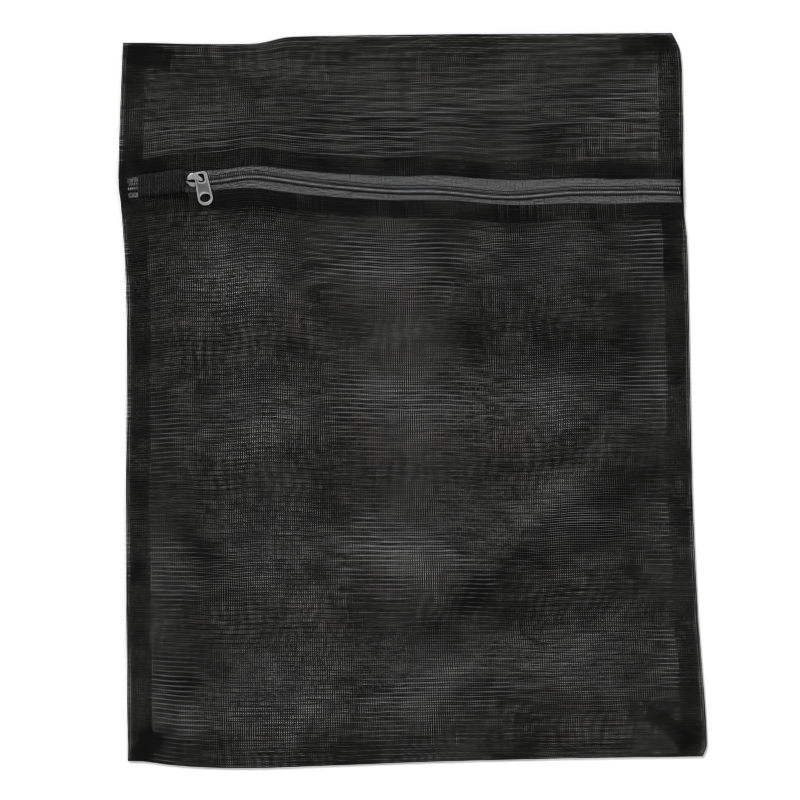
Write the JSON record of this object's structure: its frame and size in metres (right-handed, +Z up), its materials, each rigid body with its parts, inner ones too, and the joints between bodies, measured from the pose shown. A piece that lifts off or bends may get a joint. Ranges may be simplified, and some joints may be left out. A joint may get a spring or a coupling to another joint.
{
  "type": "mesh laundry bag",
  "caption": "Flat rectangular fine-mesh wash bag with a coil zip across the upper front, its slider and pull tab parked beside an elastic garage.",
  "frame": {"origin": "centre of the bag's underside, on the surface it lies on", "axes": "+X along the zip towards its open end, +Y towards the top fold, +Z up out of the front"},
  "size_m": [0.302, 0.388, 0.0101],
  "materials": {
    "mesh": "black warp-knit polyester net, slight sheen",
    "zip_tape": "charcoal woven zip tape",
    "zip_coil": "black nylon monofilament",
    "thread": "black polyester sewing thread",
    "elastic": "black ribbed elastic",
    "slider_metal": "satin gunmetal paint on die-cast zinc"
  },
  "bodies": {
    "root": {"back_panel": "mesh", "front_upper_panel": "mesh", "front_lower_panel": "mesh", "upper_hem": "mesh", "lower_hem": "mesh", "left_seam_allowance": "mesh", "right_seam_allowance": "mesh", "upper_zip_tape": "zip_tape", "lower_zip_tape": "zip_tape", "upper_zip_coil": "zip_coil", "lower_zip_coil": "zip_coil", "upper_coil_cord": "thread", "lower_coil_cord": "thread", "upper_coil_thread": "thread", "lower_coil_thread": "thread", "upper_hem_stitching": "thread", "lower_hem_stitching": "thread", "left_seam_stitching": "thread", "right_seam_stitching": "thread", "left_zip_tack": "thread", "right_zip_tack": "thread", "elastic_garage": "elastic"},
    "slider": {"zip_slider": "slider_metal"},
    "pull": {"pull_tab": "slider_metal"}
  },
  "joints": [
    {"name": "slider_slide", "type": "slide", "parent": "root", "child": "slider", "axis": [0.9997, -0.0227, 0], "range_m": [-0.005, 0.2455]},
    {"name": "pull_swivel", "type": "hinge", "parent": "slider", "child": "pull", "pos_m": [-0.10642, 0.11772, 0.0075], "axis": [0, 0, 1], "range_deg": [-9, 171]}
  ]
}
